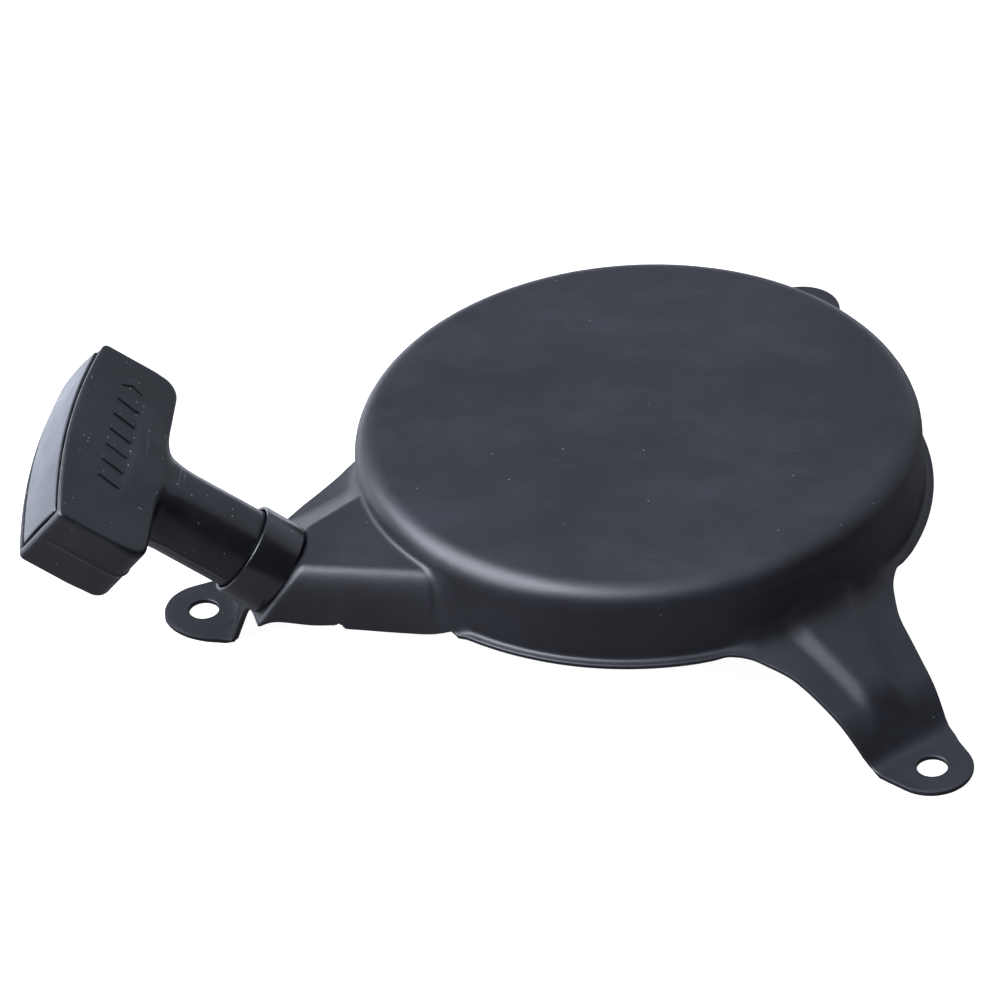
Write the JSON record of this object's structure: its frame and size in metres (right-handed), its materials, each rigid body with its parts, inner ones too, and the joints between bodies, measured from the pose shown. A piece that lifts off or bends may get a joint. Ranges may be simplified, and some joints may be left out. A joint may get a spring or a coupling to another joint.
{
  "type": "recoil starter",
  "caption": "Pull starter: a stamped round cover with bolt ears and a slanted rope outlet with a T-handle, over a spring-loaded rope reel with pawls that grip the engine's cup.",
  "frame": {"origin": "centre of the bolt circle, in the plane of the ears' undersides", "axes": "+Z along the reel's axis, away from the engine; the rope's outlet points to -X in plan"},
  "size_m": [0.215, 0.1956, 0.0734],
  "materials": {
    "coated_steel": "satin black powder coat",
    "plain_steel": "turned",
    "zinc_steel": "zinc plated",
    "spring_steel": "tempered",
    "hard_steel": "case hardened",
    "guide_plastic": "gloss black",
    "reel_plastic": "glass-filled nylon",
    "bush_bronze": "sintered",
    "rope": "braided",
    "grip_rubber": "moulded, semi-gloss",
    "cap_plastic": "satin"
  },
  "bodies": {
    "case": {"housing": "coated_steel", "center_post": "plain_steel", "center_bolt": "zinc_steel", "bolt_washer": "zinc_steel", "thrust_washer": "zinc_steel", "friction_spring": "spring_steel", "recoil_spring": "spring_steel", "rope_guide": "guide_plastic", "guide_eyelet": "zinc_steel", "guide_retainer": "spring_steel", "rope_lead": "rope"},
    "reel": {"reel": "reel_plastic", "reel_bush": "bush_bronze", "spring_shield": "plain_steel", "rope_wound": "rope", "reel_rope_knot": "rope", "pawl_pins": "plain_steel", "pawl_spring_1": "spring_steel", "pawl_spring_2": "spring_steel"},
    "friction_plate": {"friction_plate": "zinc_steel"},
    "pawl_1": {"pawl_1": "hard_steel"},
    "pawl_2": {"pawl_2": "hard_steel"},
    "handle": {"handle_grip": "grip_rubber", "handle_cap": "cap_plastic", "handle_washer": "zinc_steel", "handle_knot": "rope"}
  },
  "joints": [
    {"name": "handle_pull", "type": "slide", "parent": "case", "child": "handle", "axis": [-0.7912, 0, 0.6115], "range_m": [0, 0.72], "stiffness_N_per_m": 20, "springref_m": -0.4},
    {"name": "reel_spin", "type": "hinge", "parent": "case", "child": "reel", "pos_m": [0, 0, 0.02], "axis": [0, 0, 1], "range_deg": [-1060, 0], "deforming": ["recoil_spring"]},
    {"name": "plate_turn", "type": "hinge", "parent": "reel", "child": "friction_plate", "pos_m": [0, 0, 0.01], "axis": [0, 0, 1], "range_deg": [0, 28], "stiffness_Nm_per_rad": 0.01, "springref_deg": -17.19},
    {"name": "pawl_1_swing", "type": "hinge", "parent": "reel", "child": "pawl_1", "pos_m": [0.026, 0, 0.0143], "axis": [0, 0, 1], "range_deg": [0, 33.2]},
    {"name": "pawl_2_swing", "type": "hinge", "parent": "reel", "child": "pawl_2", "pos_m": [-0.026, 0, 0.0143], "axis": [0, 0, 1], "range_deg": [0, 33.2]}
  ],
  "couplings": [
    {"joint": "reel_spin", "follows": "handle_pull", "rad_per_m": -25.51},
    {"joint": "pawl_1_swing", "follows": "plate_turn", "ratio": 1.1786},
    {"joint": "pawl_2_swing", "follows": "plate_turn", "ratio": 1.1786}
  ]
}
